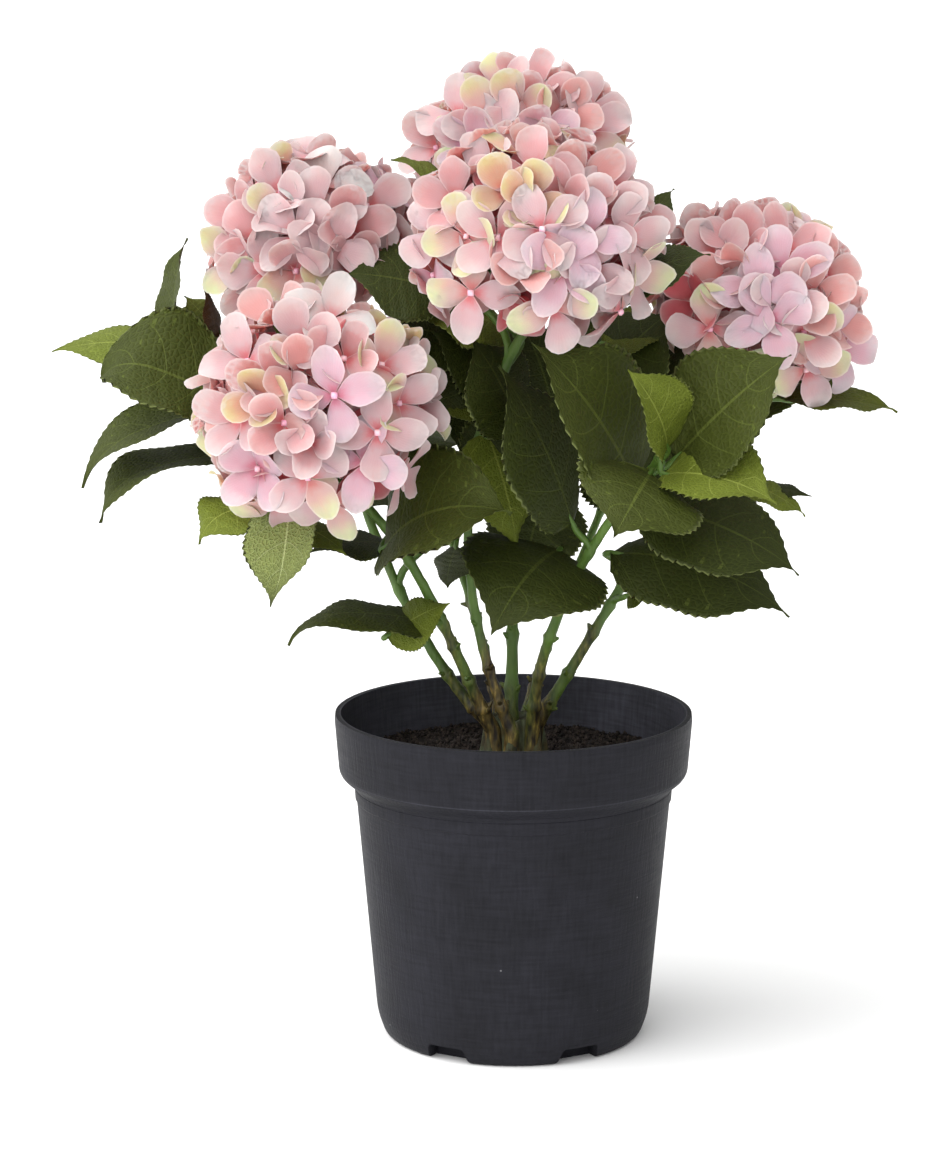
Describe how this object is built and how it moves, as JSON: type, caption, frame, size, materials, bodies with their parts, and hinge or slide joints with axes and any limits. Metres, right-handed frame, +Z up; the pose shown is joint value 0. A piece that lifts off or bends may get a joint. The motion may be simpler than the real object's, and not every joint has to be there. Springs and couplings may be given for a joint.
{
  "type": "potted artificial hydrangea",
  "caption": "Artificial hydrangea shrub with round pink flower heads and serrated green leaves on bare stems, in its moulded dark pot.",
  "frame": {"origin": "centre of the pot's flat underside", "axes": "+Z up along the pot's axis, +X to the right of the side it is shown from, -Y towards that side"},
  "size_m": [0.3493, 0.2542, 0.4095],
  "materials": {
    "pot_plastic": "fine linen-like mould texture, matt",
    "soil_crumbs": "dark crumbs set in the filling",
    "stem_bark": "moulded bark, matt",
    "stem_green": "moulded green stem, satin",
    "leaf_cloth": "printed, heat-pressed cloth",
    "petal_cloth": "dyed, heat-pressed cloth"
  },
  "bodies": {
    "root": {"flower_head_centre": "petal_cloth", "flower_head_left_back": "petal_cloth", "flower_head_left_front": "petal_cloth", "flower_head_right": "petal_cloth", "flower_head_top_back": "petal_cloth", "leaves_back_left": "leaf_cloth", "leaves_back_right": "leaf_cloth", "leaves_centre": "leaf_cloth", "leaves_front": "leaf_cloth", "leaves_left_back": "leaf_cloth", "leaves_left_front": "leaf_cloth", "leaves_right": "leaf_cloth", "leaves_top_back": "leaf_cloth", "low_leaf": "leaf_cloth", "pot": "pot_plastic", "soil_fill": "soil_crumbs", "stem_back_left": "stem_green", "stem_back_right": "stem_green", "stem_centre": "stem_green", "stem_front": "stem_green", "stem_left_back": "stem_green", "stem_left_front": "stem_green", "stem_right": "stem_green", "stem_top_back": "stem_green", "trunk": "stem_bark"}
  },
  "joints": []
}
